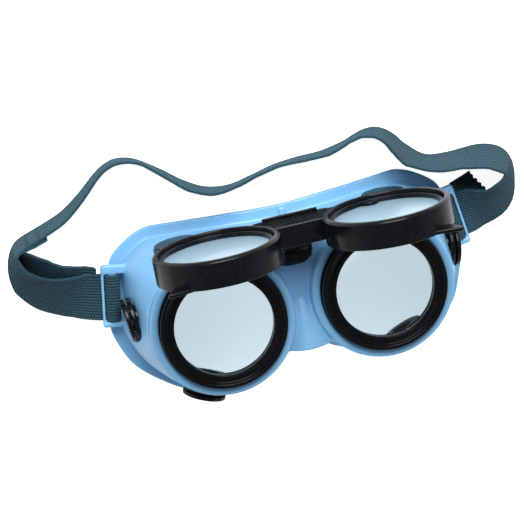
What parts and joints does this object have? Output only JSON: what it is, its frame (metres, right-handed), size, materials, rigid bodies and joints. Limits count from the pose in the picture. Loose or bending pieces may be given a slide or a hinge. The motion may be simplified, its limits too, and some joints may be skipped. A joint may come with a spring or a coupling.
{
  "type": "flip-up glasses",
  "caption": "Goggles with a soft vented mask, clear lenses in screw rings, a hinged pair of tinted lenses that flips up, and an elastic strap.",
  "frame": {"origin": "point of the rim's back face plane halfway between the two lens axes, with the goggles lying on their back", "axes": "+X along the line from the left to the right lens as seen from the front, +Y towards the forehead edge, +Z along the lens axes out of the front"},
  "size_m": [0.2536, 0.1252, 0.1109],
  "materials": {
    "soft_shell": "soft semi-gloss blue vinyl",
    "black_plastic": "moulded, satin to glossy",
    "gasket": "soft, matte",
    "clear_lens": "clear, polished",
    "tinted_lens": "tinted, polished",
    "steel": "plain bright steel",
    "webbing": "woven elastic, slate blue",
    "thread": "sewing thread"
  },
  "bodies": {
    "mask": {"mask_body": "soft_shell", "hinge_bracket": "black_plastic", "bracket_backing_plate": "steel", "bracket_screws": "steel", "hinge_pin": "steel", "pin_cap": "steel", "friction_washers": "gasket", "head_strap": "webbing", "strap_stitching": "thread", "left_lens_holder": "black_plastic", "left_lens_gasket": "gasket", "left_clear_lens": "clear_lens", "left_retaining_ring": "black_plastic", "left_side_vent_base": "black_plastic", "left_side_vent_cap": "black_plastic", "left_top_vent_base": "black_plastic", "left_top_vent_cap": "black_plastic", "left_low_vent_base": "black_plastic", "left_low_vent_cap": "black_plastic", "right_lens_holder": "black_plastic", "right_lens_gasket": "gasket", "right_clear_lens": "clear_lens", "right_retaining_ring": "black_plastic", "right_side_vent_base": "black_plastic", "right_side_vent_cap": "black_plastic", "right_top_vent_base": "black_plastic", "right_top_vent_cap": "black_plastic", "right_low_vent_base": "black_plastic", "right_low_vent_cap": "black_plastic"},
    "flip": {"flip_frame": "black_plastic", "left_dark_lens": "tinted_lens", "left_flip_gasket": "gasket", "left_flip_retainer": "black_plastic", "right_dark_lens": "tinted_lens", "right_flip_gasket": "gasket", "right_flip_retainer": "black_plastic"}
  },
  "joints": [
    {"name": "flip_hinge", "type": "hinge", "parent": "mask", "child": "flip", "pos_m": [0, 0.0341, 0.0479], "axis": [1, 0, 0], "range_deg": [-20, 90]}
  ]
}
